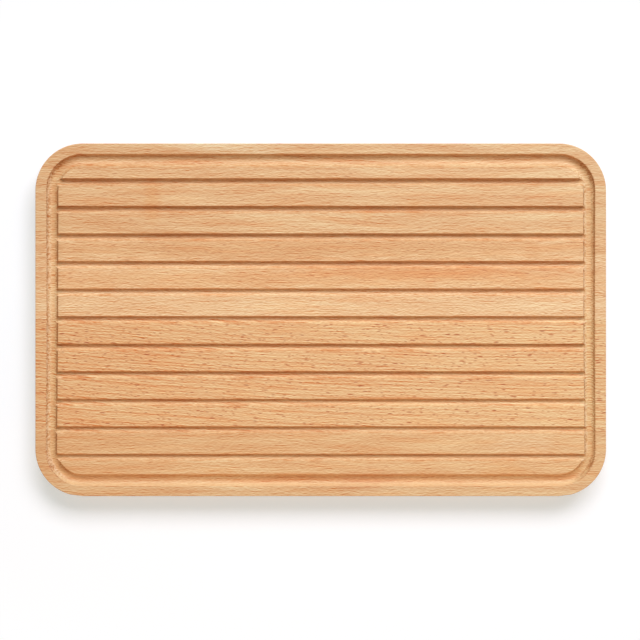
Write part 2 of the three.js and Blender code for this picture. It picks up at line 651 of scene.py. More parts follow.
    def _grain(self, skin: Surface) -> tuple[Signal, Signal]:
        """Where a point lies along and across the grain.

        Args:
            skin: The point of the surface.

        Returns:
            The place along the grain, and the place across it with the grain's sway taken out.
        """
        x, y = skin.x, skin.y
        straight = y - self.slope * x - (0.5 * self.bend) * x * x
        sway = skin.noise(self.sway_size, (self.seed, 0.0, 0.0)) - 0.5
        ripple = skin.noise(self.ripple_size, (0.0, self.seed, 0.0), detail=1.5) - 0.5
        return x + self.slope * y, straight + sway * self.sway + ripple * self.ripple

    def _rings(self, skin: Surface) -> Signal:
        """The growth rings round the log's heart.

        Args:
            skin: The point of the surface.

        Returns:
            1 on the dark late wood of a ring, and 0 on its early wood.
        """
        heart_y, heart_z = self.heart
        distance = (skin.across - heart_y).hypotenuse(skin.z - heart_z)
        waver_place = distance / (self.waver_rings * self.ring_width) + self.seed
        one_way = {"noise_dimensions": "1D"}
        sockets = {"W": waver_place, "Scale": 1.0, "Detail": 2.0}
        waver = skin.graph.node("ShaderNodeTexNoise", one_way, sockets)
        count = distance / self.ring_width + self.ring_waver * waver
        share = count % 1.0
        own = skin.graph.node("ShaderNodeTexWhiteNoise", one_way, {"W": count - share})
        late = share.rise(*self.late_wood) * share.rise(*self.ring_end)
        return late * (self.faintest_ring + (1.0 - self.faintest_ring) * own)

    def _fine(self, skin: Surface, across: Signal, size: Span) -> Signal:
        """How much each fibre differs from the one beside it.

        Args:
            skin: The point of the surface.
            across: Its place across the grain.
            size: The fibres' length and width.

        Returns:
            A signal round 0, above it on pale fibres and below it on dark ones.
        """
        length, width = size
        graph, along = skin.graph, skin.along / length
        layer = skin.z / (self.widths_high * width) + self.seed
        here = graph.vector(along, across / width, layer)
        beside = graph.vector(along, (across + self.widths_beside * width) / width, layer)
        own, next_one = (graph.noise(place, detail=0.7, rough=0.6) for place in (here, beside))
        return own - next_one

    def _tone(self, skin: Surface, ring: Signal, lines: Signal, fibres: Signal) -> None:
        """Colours the wood by its rings, lines, fibres, bands and streaks.

        Args:
            skin: The point of the surface.
            ring: 1 on late wood and 0 on early wood.
            lines: The long lines of the grain.
            fibres: The short fibres between them.
        """
        graph = skin.graph
        layer = (skin.z - self.face_height) / self.layer_height + self.face_layer
        band_place = graph.vector(
            skin.along / self.band_length, skin.across / self.band_width, layer + self.seed
        )
        bands = graph.noise(band_place, detail=0.3)
        clouds = skin.noise(self.cloud_size, (0.0, 0.0, self.seed))
        uneven = skin.noise(self.uneven_size, (self.seed, 0.0, 0.0))
        tone = (
            lines * (self.line_tone * (self.least_lines + self.more_lines * uneven))
            - lines.rise(*self.dark_line) * self.dark_tone
            + fibres * self.fibre_tone
            + (bands - 0.5) * self.band_tone
            + (clouds - 0.5) * self.cloud_tone
            + (self.mean_ring - ring) * self.ring_tone
            # Lighter to the right: partly the wood's own change, partly painted light from the lamp on the
            # right.
            + skin.x * (self.right_tone_and_light / self.half_length)
        )
        share = (0.5 + tone * (0.5 / self.tone_range)).clamped()
        skin.colour = graph.mix(share, self._toned(-self.tone_range), self._toned(self.tone_range))
        length, width = self.warm_size
        warm_place = graph.vector(skin.x / length + self.seed, skin.across / width, layer)
        skin.wash(self.warm, graph.noise(warm_place, detail=1.5, rough=0.55))
        for number, streak in enumerate(self.streaks):
            skin.tint(streak.near(skin, self.seed, number), streak.tint)

    def _toned(self, tone: float) -> Colour:
        """The wood's colour at a tone above or below its own."""
        return tuple(channel * max(1.0 + tone * share, 0.0) for channel, share in zip(self.pale, self.follow))

    def _fleck(self, skin: Surface, cut: Signal) -> Signal:
        """Strews the flecks over the wood.

        Args:
            skin: The point of the surface.
            cut: 1 in a cut, where the flecks are fainter.

        Returns:
            Where a fleck of any kind lies.
        """
        kept = 1.0 - self.flecks_lost_in_cut * cut
        masks = []
        for number, kind in enumerate(self.flecks):
            masks.append(kind.mask(skin, self.seed + self.fleck_shift * number) * kept)
            skin.tint(masks[-1], kind.tint)
        dashes = masks[0]
        for mask in masks[1:]:
            dashes = dashes.at_least(mask)
        return dashes


@dataclass(frozen=True)
class RoundNoseCut:
    """The section of a cut by a round-nosed bit: a sanded lip, a steep wall and a round bottom.

    Its sizes may be arrays, with one value for each place along the cut.
    """

    radius: float | np.ndarray
    depth: float | np.ndarray
    ease: float | np.ndarray
    draft: float = math.radians(3)

    @property
    def turn(self) -> np.ndarray:
        """The angle between the flat face and the wall."""
        shallow = 1.0 - self.depth / (self.radius + self.ease)
        return np.arccos(np.maximum(shallow, math.sin(self.draft)))

    @property
    def wall(self) -> np.ndarray:
        """The length of the straight wall between the lip and the round bottom."""
        rounds = (self.radius + self.ease) * (1.0 - np.cos(self.turn))
        return np.maximum(self.depth - rounds, 0.0) / np.sin(self.turn)

    @property
    def reach(self) -> np.ndarray:
        """The distance from the centre line to where the eased lip meets the flat face."""
        return (self.radius + self.ease) * np.sin(self.turn) + self.wall * np.cos(self.turn)

    @property
    def run(self) -> np.ndarray:
        """The length of the section's line from the flat face to the lowest point."""
        return (self.radius + self.ease) * self.turn + self.wall

    @property
    def eased_depth(self) -> np.ndarray:
        """How far under the face the eased lip goes over into the wall."""
        return self.ease * (1.0 - np.cos(self.turn))

    def runs(self, lip_steps: int, wall_steps: int) -> np.ndarray:
        """Places along the line of the section.

        Args:
            lip_steps: How many steps go over the eased lip.
            wall_steps: How many go down the wall and round to the lowest point.

        Returns:
            The runs from the flat face, with the steps along the first axis.
        """
        lip = self.ease * self.turn
        over = [lip * (step / lip_steps) for step in range(lip_steps)]
        down = [lip + (self.run - lip) * (step / wall_steps) for step in range(wall_steps + 1)]
        return np.stack(over + down)

    def section(self, run: np.ndarray) -> tuple[np.ndarray, np.ndarray]:
        """The points of half the section.

        Args:
            run: How far along the line they lie, from the flat face down.

        Returns:
            Their distances from the centre line, and how far they lie under the face.
        """
        turn, wall = self.turn, self.wall
        past_lip = np.maximum(run - self.ease * turn, 0.0)
        over = np.minimum(run / self.ease, turn)
        down_wall = np.minimum(past_lip, wall)
        left = turn - np.maximum(past_lip - wall, 0.0) / self.radius
        round_in = self.radius * (np.sin(turn) - np.sin(left))
        out = self.reach - self.ease * np.sin(over) - down_wall * np.cos(turn) - round_in
        round_down = self.radius * (np.cos(left) - np.cos(turn))
        return out, self.ease * (1.0 - np.cos(over)) + down_wall * np.sin(turn) + round_down

    def run_at(self, down: np.ndarray) -> np.ndarray:
        """How far along the line a depth is reached.

        Args:
            down: The depths under the face.

        Returns:
            The runs from the flat face.
        """
        turn, wall_depth = self.turn, self.wall * np.sin(self.turn)
        on_lip = np.clip(down, 0.0, self.eased_depth)
        on_wall = np.clip(down - self.eased_depth, 0.0, wall_depth)
        on_round = np.clip(down - self.eased_depth - wall_depth, 0.0, self.radius * (1.0 - np.cos(turn)))
        left = np.arccos(np.minimum(np.cos(turn) + on_round / self.radius, 1.0))
        over = np.arccos(1.0 - on_lip / self.ease)
        return self.ease * over + on_wall / np.sin(turn) + self.radius * (turn - left)

    def down_at(self, out: np.ndarray) -> np.ndarray:
        """How far the cut lies under the face.

        Args:
            out: The distances from its centre line.

        Returns:
            The depths, which are 0 past the lips.
        """
        turn = self.turn
        lip_width, wall_width = self.ease * np.sin(turn), self.wall * np.cos(turn)
        foot = self.radius * np.sin(turn)
        inward = self.reach - np.abs(out)
        on_lip = np.clip(inward, 0.0, lip_width)
        on_wall = np.clip(inward - lip_width, 0.0, wall_width)
        from_middle = foot - np.clip(inward - lip_width - wall_width, 0.0, foot)
        lip = self.ease - np.sqrt(self.ease**2 - on_lip**2)
        bottom = np.sqrt(self.radius**2 - from_middle**2) - self.radius * np.cos(turn)
        return np.where(inward > 0.0, lip + on_wall * np.tan(turn) + bottom, 0.0)


@dataclass(frozen=True)
class Chips:
    """Small teeth that the cutter tore out of a lip where it crossed the grain."""

    spacing: float = 1.7 * MM
    half_width: float = 0.8 * MM
    width_spread: Span = (0.5, 1.4)
    depth: float = 0.55 * MM
    depth_spread: Span = (0.2, 1.0)
    mostly_shallow: float = 1.5
    reach: float = 0.7 * MM

    def along(self, travel: np.ndarray, strength: np.ndarray, seed: int) -> np.ndarray:
        """How deep the lip is torn along its length.

        Args:
            travel: Places along the lip.
            strength: How much of a full tear there is at each place.
            seed: What the random draw starts from.

        Returns:
            The depth of the tear at each place.
        """
        draw = np.random.default_rng(seed)
        low, high = float(travel.min()), float(travel.max())
        count = int((high - low) / self.spacing)
        middles = draw.uniform(low, high, count)
        widths = self.half_width * draw.uniform(*self.width_spread, count)
        depths = self.depth * draw.uniform(*self.depth_spread, count) ** self.mostly_shallow
        torn = np.zeros_like(travel)
        for middle, width, depth in zip(middles, widths, depths):
            torn = np.maximum(torn, depth * np.clip(1.0 - np.abs(travel - middle) / width, 0.0, 1.0))
        return torn * strength


@dataclass
class Skin:
    """The surface of the whole panel as points and four-sided faces, before it is parted into staves."""

    points: np.ndarray
    unrolled: np.ndarray
    marks: dict[Mark, np.ndarray]
    face_grid: np.ndarray
    rim_loops: np.ndarray
    under_grid: np.ndarray
    rows: np.ndarray
    right_stations: np.ndarray
    left_stations: np.ndarray


@dataclass
class Panel:
    """The glued panel with its outline, grooves and channel. Lengths are in metres."""

    length: float
    width: float
    thickness: float
    joints: tuple[float, ...]
    corner_radius: float = 33.0 * MM
    edge_ease: float = 0.6 * MM
    channel: RoundNoseCut = RoundNoseCut(3.98 * MM, 3.55 * MM, 0.3 * MM)
    channel_inset: float = 11.95 * MM
    channel_nearer_to_front: float = 0.0068
    channel_wider_to_rear: float = 0.0025
    channel_wider_past_corners: float = 0.55 * MM
    corner_blend: float = 20.0 * MM
    channel_deeper_to_rear: float = 0.005
    channel_crisper_to_rear: float = 0.0018
    groove: RoundNoseCut = RoundNoseCut(2.6 * MM, 3.2 * MM, 0.13 * MM)
    groove_pitch: float = 19.3 * MM
    groove_count: int = 11
    grooves_deeper_to_rear: float = 0.0065
    chips: Chips = Chips()
    outer_chips_seed: int = 11
    inner_chips_seed: int = 12
    columns: int = 64
    row_spacing: float = 0.62 * MM
    least_spacing: float = 0.012 * MM
    joint_spacing: float = 8 * least_spacing
    support: float = 0.14 * MM
    rim_supports: tuple[float, ...] = (1.0, 2.5, 5.0)
    lip_steps: int = 3
    groove_steps: int = 10
    channel_steps: int = 13
    corner_step: float = math.radians(2.5)
    rim_steps: int = 6
    edge_steps: int = 6
    side_steps: int = 5
    end_rounds: int = 6
    far_from_lip: float = 9.0
    inside_field: float = -6.0

    def groove_middles(self) -> np.ndarray:
        """The grooves' centre lines, from the front to the rear."""
        half = (self.groove_count - 1) / 2
        return self.groove_pitch * np.arange(-half, half + 1)

    @property
    def corner_centre(self) -> Span:
        """The centre of the outline's arc at the right rear corner."""
        return self.length / 2 - self.corner_radius, self.width / 2 - self.corner_radius

    @property
    def lip_inset(self) -> float:
        """The distance from the board's edge to the channel's inner lip, halfway between front and rear."""
        return self.channel_inset + self.channel.reach

    def channel_at(self, across: np.ndarray) -> RoundNoseCut:
        """The channel's section, which gets wider, deeper and crisper to the rear.

        Args:
            across: Places across the board.

        Returns:
            The section at each place.
        """
        past = np.clip((np.abs(across) - self.corner_centre[1]) / self.corner_blend, 0.0, 1.0)
        wider = self.channel_wider_to_rear * across + self.channel_wider_past_corners * past
        return replace(
            self.channel,
            radius=self.channel.radius + wider,
            depth=self.channel.depth + self.channel_deeper_to_rear * across,
            ease=self.channel.ease - self.channel_crisper_to_rear * across,
        )

    def channel_middle(self, across: np.ndarray) -> np.ndarray:
        """The distance from the board's edge to the channel's centre line, at places across the board."""
        return self.channel_inset + self.channel_nearer_to_front * np.minimum(across, 0.0)

    def groove_cuts(self) -> RoundNoseCut:
        """The grooves' sections, from the front to the rear."""
        deeper = self.grooves_deeper_to_rear * self.groove_middles()
        return replace(self.groove, depth=self.groove.depth + deeper)

    def _field_end(self, side: int) -> float:
        """Where the grooved field ends at the channel.

        Args:
            side: 1 for the rear and -1 for the front.

        Returns:
            The place across the board of the channel's inner lip.
        """
        end = side * (self.width / 2 - self.lip_inset)
        for _ in range(self.end_rounds):
            end = side * float(self.width / 2 - self.channel_middle(end) - self.channel_at(end).reach)
        return end

    def rows(self) -> np.ndarray:
        """Where the rows of points run from side to side.

        Returns:
            Their places across the board, from the front to the rear, close together in the cuts.
        """
        cuts = self.groove_cuts()
        runs = cuts.runs(self.lip_steps, self.groove_steps)
        outs = np.concatenate([[cuts.reach + self.support], cuts.section(runs)[0]])
        section = np.concatenate([outs, -outs[:-1]])
        corner_y = self.corner_centre[1]
        lip_radius = self.corner_radius - self.lip_inset
        angles = np.arange(self.corner_step, math.pi / 2 - self.corner_step / 2, self.corner_step)
        rear_arc = corner_y + lip_radius * np.sin(angles)
        arcs = np.concatenate([rear_arc, -rear_arc])
        front_end, rear_end = self._field_end(-1), self._field_end(1)
        kept = np.concatenate([
            (self.groove_middles() + section).ravel(),
            np.array(self.joints),
            [front_end, rear_end, -corner_y, corner_y],
        ])
        kept = self._thinned(np.unique(kept), np.array(self.joints))
        loose = arcs[self._drop(arcs) <= 0]
        far = np.abs(loose[:, None] - kept).min(1) > self.least_spacing
        fixed = np.unique(np.concatenate([kept, loose[far]]))
        fixed = fixed[(fixed >= front_end) & (fixed <= rear_end)]
        filled = [fixed[:1]]
        for low, high in zip(fixed[:-1], fixed[1:]):
            steps = max(1, math.ceil((high - low) / self.row_spacing))
            filled.append(np.linspace(low, high, steps + 1)[1:])
        return np.concatenate(filled)

    def _thinned(self, rows: np.ndarray, joints: np.ndarray) -> np.ndarray:
        """The rows without those that lie beside a joint but not on it."""
        gap = np.abs(rows[:, None] - joints)
        return rows[((gap > self.joint_spacing) | (gap == 0.0)).all(1)]

    def _drop(self, rows: np.ndarray) -> np.ndarray:
        """How far the grooves lie under the face on each row."""
        return self.groove_cuts().down_at(rows[:, None] - self.groove_middles()).max(1)

    def skin(self) -> Skin:
        """Makes the surface of the panel.

        Returns:
            The face with its grooves, loops of points from there over the rim and round the edge, and
            the underside.
        """
        rows = self.rows()
        drop = self._drop(rows)
        channel = self.channel_at(rows)
        start_run = channel.run_at(drop)
        start_inset = self.channel_middle(rows) + channel.section(start_run)[0]
        share = np.linspace(-1.0, 1.0, self.columns + 1)
        face, face_unrolled = self._field(rows, drop, start_inset, share)

        last, side = len(rows) - 1, np.arange(len(rows))
        inner = np.arange(1, self.columns)
        front, rear = np.zeros(len(inner), int), np.full(len(inner), last)
        right, left = np.full(len(side), self.columns), np.zeros(len(side), int)
        station_row = np.concatenate([side, rear, side[::-1], front])
        station_column = np.concatenate([right, inner[::-1], left, inner])
        start = face[station_row, station_column]
        outward = np.sign(start[:, :2]) * np.maximum(np.abs(start[:, :2]) - self.corner_centre, 0.0)
        outward /= np.linalg.norm(outward, axis=1)[:, None]
        inset, down, loop_marks = self._profile(start_run[station_row], start, outward)
        away = start_inset[station_row][:, None] - inset
        loops = np.concatenate([
            start[:, None, :2] + outward[:, None] * away[..., None],
            (self.thickness - down)[..., None],
        ], axis=-1)
        before = np.concatenate([start[:, None], loops], axis=1)
        travel = np.cumsum(np.linalg.norm(np.diff(before, axis=1), axis=2), axis=1)
        start_unrolled = face_unrolled[station_row, station_column]
        loops_unrolled = start_unrolled[:, None] + outward[:, None] * travel[..., None]

        under = self._underside(loops[:, -1], len(rows), share)
        face_count, loop_count = face[..., 0].size, loops[:, :-1, 0].size
        face_index = np.arange(face_count).reshape(face.shape[:2])
        loop_index = face_count + np.arange(loop_count).reshape(len(start), -1)
        under_index = face_count + loop_count + face_index
        rim = np.concatenate([
            face_index[station_row, station_column][:, None],
            loop_index,
            under_index[station_row, station_column][:, None],
        ], axis=1)
        points = np.concatenate([face.reshape(-1, 3), loops[:, :-1].reshape(-1, 3), under.reshape(-1, 3)])
        unrolled = np.zeros((len(points), 2))
        unrolled[:face_count] = face_unrolled.reshape(-1, 2)
        unrolled[face_count:face_count + loop_count] = loops_unrolled[:, :-1].reshape(-1, 2)
        unrolled[rim[:, -1]] = loops_unrolled[:, -1]
        marks = self._marks(drop, loop_marks)
        lip = self.channel_at(start[:, 1]).reach + self.channel_middle(start[:, 1])
        marks[Mark.INNER_LIP][rim[:, 0]] = (lip - start_inset[station_row]) * PER_METRE
        marks[Mark.CROSSING][rim[:, 0]] = outward[:, 0] ** 2
        return Skin(
            points=points,
            unrolled=unrolled,
            marks=marks,
            face_grid=face_index,
            rim_loops=rim,
            under_grid=under_index,
            rows=rows,
            right_stations=side,
            left_stations=len(side) + len(inner) + side[::-1],
        )

    def _field(
        self, rows: np.ndarray, drop: np.ndarray, inset: np.ndarray, share: np.ndarray
    ) -> tuple[np.ndarray, np.ndarray]:
        """The grid of points of the grooved field.

        Args:
            rows: The rows' places across the board.
            drop: How far each row lies under the face.
            inset: How far from the board's edge each row ends.
            share: The columns' places, from -1 at the left to 1 at the right.

        Returns:
            The points, and their places with the grooves rolled out flat.
        """
        centre_x, centre_y = self.corner_centre
        past = np.maximum(np.abs(rows) - centre_y, 0.0)
        radius = self.corner_radius - inset
        ends = centre_x + np.sqrt(np.maximum(radius**2 - past**2, 0.0))
        x = ends[:, None] * share
        points = np.stack(np.broadcast_arrays(x, rows[:, None], self.thickness - drop[:, None]), axis=-1)
        steps = np.hypot(np.diff(rows), np.diff(drop))
        flat_y = rows[0] + np.concatenate([[0.0], np.cumsum(steps)])
        flat_y -= np.interp(0.0, rows, flat_y)
        return points, np.stack(np.broadcast_arrays(x, flat_y[:, None]), axis=-1)

    def _marks(self, drop: np.ndarray, on_loops: dict[Mark, np.ndarray]) -> dict[Mark, np.ndarray]:
        """What the mesh carries at its points for its material.

        Args:
            drop: How far each row of the field lies under the face.
            on_loops: What the loops of points carry.

        Returns:
            The numbers of each mark: the field's, the loops' and the underside's.
        """
        in_groove, nothing = drop > 0, np.zeros(len(drop))
        on_field = {
            Mark.CUT: in_groove.astype(float),
            Mark.LIP: (in_groove & (drop < self.groove.ease)).astype(float),
            Mark.OUTER_LIP: nothing + self.far_from_lip,
            Mark.INNER_LIP: nothing + self.inside_field,
            Mark.CROSSING: nothing,
        }
        marks = {}
        for mark, values in on_loops.items():
            field = np.repeat(on_field[mark], self.columns + 1)
            below = np.full(len(field), -self.far_from_lip if mark is Mark.OUTER_LIP else 0.0)
            marks[mark] = np.concatenate([field, values[:, :-1].ravel(), below])
        return marks

    def _profile(
        self, start_run: np.ndarray, start: np.ndarray, outward: np.ndarray
    ) -> tuple[np.ndarray, np.ndarray, dict[Mark, np.ndarray]]:
        """The line from the field's edge through the channel, over the rim and round to the underside.

        Args:
            start_run: How far down the channel's wall each station starts.
            start: The stations' points.
            outward: The stations' directions.

        Returns:
            For each station and step, the distance from the board's edge, the depth under the face,
            and what the mesh carries there for its material.
        """
        channel, middle = self.channel_at(start[:, 1:2]), self.channel_middle(start[:, 1:2])
        runs = channel.runs(self.lip_steps, self.channel_steps)
        shares = (runs / channel.run)[..., 0].T
        run_in = start_run[:, None] + (channel.run - start_run[:, None]) * shares[:, 1:]
        out_in, down_in = channel.section(run_in)
        out_out, down_out = channel.section(channel.run * shares[:, -2::-1])
        outer_lip = middle - channel.reach
        next_to_lip = outer_lip - self.support * np.array(self.rim_supports)
        rim_share = np.linspace(1.0, 0.0, self.rim_steps + 1)[1:-1]
        ease = self.edge_ease
        rim_end = ease + self.support
        rim_inset = rim_end + (next_to_lip[:, -1:] - rim_end) * rim_share
        turn = np.linspace(0.0, math.pi / 2, self.edge_steps + 1)[1:]
        round_in, round_down = ease * (1.0 - np.sin(turn)), ease * (1.0 - np.cos(turn))
        side = np.linspace(ease, self.thickness - ease, self.side_steps + 1)[1:]
        under_inset = np.linspace(ease, self.lip_inset, self.rim_steps + 1)[1:]
        under_down = np.full(len(under_inset), self.thickness)
        fixed_inset = np.concatenate([[rim_end, ease], round_in, 0.0 * side, round_down, under_inset])
        fixed_down = np.concatenate([[0.0, 0.0], round_down, side, self.thickness - round_in, under_down])
        stations = len(start_run)
        flat_rim = np.hstack([next_to_lip, rim_inset])
        edge = np.tile(fixed_inset, (stations, 1))
        inset = np.hstack([middle + out_in, middle - out_out, flat_rim, edge])
        down = np.hstack([down_in, down_out, 0.0 * flat_rim, np.tile(fixed_down, (stations, 1))])
        in_channel = np.arange(inset.shape[1]) < out_in.shape[1] + out_out.shape[1] - 1

        steps = np.linalg.norm(np.diff(start[:, :2], axis=0), axis=1)
        travel = np.concatenate([[0.0], np.cumsum(steps)])
        crossing = outward[:, 0] ** 2
        outer_torn = self.chips.along(travel, crossing, self.outer_chips_seed)
        inner_torn = self.chips.along(travel, crossing * (start_run == 0.0), self.inner_chips_seed)
        from_outer, from_inner = inset - outer_lip, middle + channel.reach - inset
        outer_ramp = np.clip(1.0 + from_outer / self.chips.reach, 0.0, 1.0) * (inset < middle)
        inner_ramp = np.clip(from_inner / self.chips.reach, 0.0, 1.0) * (inset > middle)
        on_face = down < self.thickness / 2
        torn = (outer_torn[:, None] * outer_ramp + inner_torn[:, None] * inner_ramp) * on_face
        marks = {
            Mark.CUT: np.tile(in_channel.astype(float), (stations, 1)),
            Mark.LIP: (in_channel & (down <= channel.eased_depth + HAIR)).astype(float),
            Mark.OUTER_LIP: np.where(on_face, from_outer * PER_METRE, -self.far_from_lip),
            Mark.INNER_LIP: np.where(on_face, from_inner * PER_METRE, self.far_from_lip),
            Mark.CROSSING: np.broadcast_to(crossing[:, None], inset.shape),
        }
        return inset, np.maximum(down, torn), marks

    @staticmethod
    def _underside(ends: np.ndarray, row_count: int, share: np.ndarray) -> np.ndarray:
        """The grid of points under the board.

        Args:
            ends: The last point of each station's loop.
            row_count: How many rows the grid has.
            share: The columns' places, from -1 at the left to 1 at the right.

        Returns:
            The grid's points, row by row.
        """
        right = ends[:row_count]
        grid = np.repeat(right[:, None], len(share), axis=1)
        grid[..., 0] = right[:, None, 0] * share
        return grid


@dataclass
class Stave:
    """One stave of the panel: its wood between two glue lines."""

    node: str
    slot: str
    beech: Beech
    front: float
    rear: float
    crease: float = math.radians(34)
    margin: float = 2.5 * MM

    def build(self, skin: Skin, joints: tuple[float, ...]) -> bpy.types.Object:
        """Makes the stave's mesh, dresses it and puts it in the CAD node's place.

        Args:
            skin: The whole panel's surface.
            joints: All glue lines' places.

        Returns:
            The stave's object.
        """
        corners, patches, places = self._faces(skin)
        used = np.unique(np.concatenate(corners))
        renumber = np.full(len(skin.points), -1)
        renumber[used] = np.arange(len(used))
        mesh = bpy.data.meshes.new(self.node + "_wood")
        mesh.from_pydata(skin.points[used].tolist(), [], [renumber[face].tolist() for face in corners])
        mesh.validate()
        for mark, values in skin.marks.items():
            attribute = mesh.attributes.new(mark.value, "FLOAT", "POINT")
            attribute.data.foreach_set("value", values[used].astype(np.float32))
        mesh.polygons.foreach_set("use_smooth", np.ones(len(mesh.polygons), bool))
        mesh.set_sharp_from_angle(angle=self.crease)
        self._lay_out(mesh, patches, places)
        lines = tuple(joint * PER_METRE for joint in joints)
        mesh.materials.append(self.beech.material(self.node + "_beech", lines))
        made = placed(self.node + "_beech", mesh)
        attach(made, BODY)
        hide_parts(self.node)
        return made

    def _faces(self, skin: Skin) -> tuple[list[np.ndarray], list[Patch], list[np.ndarray]]:
        """Picks the stave's faces and closes its joints.

        Args:
            skin: The whole panel's surface.

        Returns:
            Each face's corners, its patch, and its corners' places on that patch.
        """
        loops = np.vstack([skin.rim_loops, skin.rim_loops[:1]])
        upper = np.vstack([quads_of(skin.face_grid), quads_of(loops)])
        upper = upper[self._holds(skin, upper)]
        bottom = quads_of(skin.under_grid)[:, ::-1]
        bottom = bottom[self._holds(skin, bottom)]
        right = skin.unrolled[upper, 0].mean(1) > 0
        mirrored = skin.points[:, :2] * (-1.0, 1.0)
        corners, patches, places = [], [], []
        for patch, chosen, flat in (
            (Patch.RIGHT_HALF, upper[right], skin.unrolled),
            (Patch.LEFT_HALF, upper[~right], skin.unrolled),
            (Patch.UNDERSIDE, bottom, mirrored),
        ):
            corners += list(chosen)
            patches += [patch] * len(chosen)
            places += list(flat[chosen])
        for line, patch in ((self.rear, Patch.REAR_JOINT), (self.front, Patch.FRONT_JOINT)):
            row = int(np.abs(skin.rows - line).argmin())
            if abs(skin.rows[row] - line) > HAIR:
                continue
            caps = self._caps(skin, row, patch is Patch.REAR_JOINT)
            corners += caps
            patches += [patch] * len(caps)
            places += [skin.points[cap][:, [0, 2]] for cap in caps]
        return corners, patches, places

    def _holds(self, skin: Skin, quads: np.ndarray) -> np.ndarray:
        """Whether each face lies between the stave's glue lines."""
        middle = skin.points[quads, 1].mean(1)
        return (middle > self.front - HAIR) & (middle < self.rear + HAIR)

    @staticmethod
    def _caps(skin: Skin, row: int, faces_rear: bool) -> list[np.ndarray]:
        """The faces of a glue joint.

        Args:
            skin: The whole panel's surface.
            row: The row of points on the joint.
            faces_rear: Whether the joint looks to the rear.

        Returns:
            The corners of each face, with the faces looking out of the stave.
        """
        top, under = skin.face_grid[row], skin.under_grid[row]
        caps = list(np.stack([top[:-1], under[:-1], under[1:], top[1:]], axis=1))
        caps.append(skin.rim_loops[skin.right_stations[row]][::-1])
        caps.append(skin.rim_loops[skin.left_stations[row]])
        return [cap[::-1] for cap in caps] if faces_rear else caps

    def _lay_out(self, mesh: bpy.types.Mesh, patches: list[Patch], places: list[np.ndarray]) -> None:
        """Lays the stave's skin flat on one sheet, for textures to be baked on.

        Args:
            mesh: The stave's mesh.
            patches: Each face's patch.
            places: Each face's corners on that patch.
        """
        flat = [place * patch.share for place, patch in zip(places, patches)]
        sizes = {}
        for patch in Patch:
            own = [place for place, other in zip(flat, patches) if other is patch]
            if own:
                every = np.concatenate(own)
                sizes[patch] = (every.min(0), every.max(0))
        width = max(high[0] - low[0] for low, high in sizes.values()) + 2 * self.margin
        height = sum(high[1] - low[1] + self.margin for low, high in sizes.values()) + self.margin
        corner, level = {}, self.margin
        for patch, (low, high) in sizes.items():
            corner[patch] = np.array([self.margin, level]) - low
            level += high[1] - low[1] + self.margin
        laid = [(place + corner[patch]) / (width, height) for place, patch in zip(flat, patches)]
        layer = mesh.uv_layers.new(name="OFBake")
        layer.uv.foreach_set("vector", np.concatenate(laid).astype(np.float32).ravel())


def quads_of(grid: np.ndarray) -> np.ndarray:
    """The corners of a grid's faces, counter-clockwise where rows run up and columns run right."""
    return np.stack([grid[:-1, :-1], grid[:-1, 1:], grid[1:, 1:], grid[1:, :-1]], axis=-1).reshape(-1, 4)


def blank_material(name: str) -> tuple[bpy.types.Material, ShaderGraph]:
    """Makes an empty material.

    Args:
        name: The material's name.

    Returns:
        The material and its graph.
    """
    made = bpy.data.materials.new(name)
    made.use_nodes = True
    return made, ShaderGraph(made.node_tree)


def placed(name: str, data: bpy.types.Mesh | bpy.types.Light | bpy.types.Camera) -> bpy.types.Object:
    """Puts a new object in the scene.

    Args:
        name: The object's name.
        data: What it shows.

    Returns:
        The object.
    """
    made = bpy.data.objects.new(name, data)
    bpy.context.scene.collection.objects.link(made)
    return made


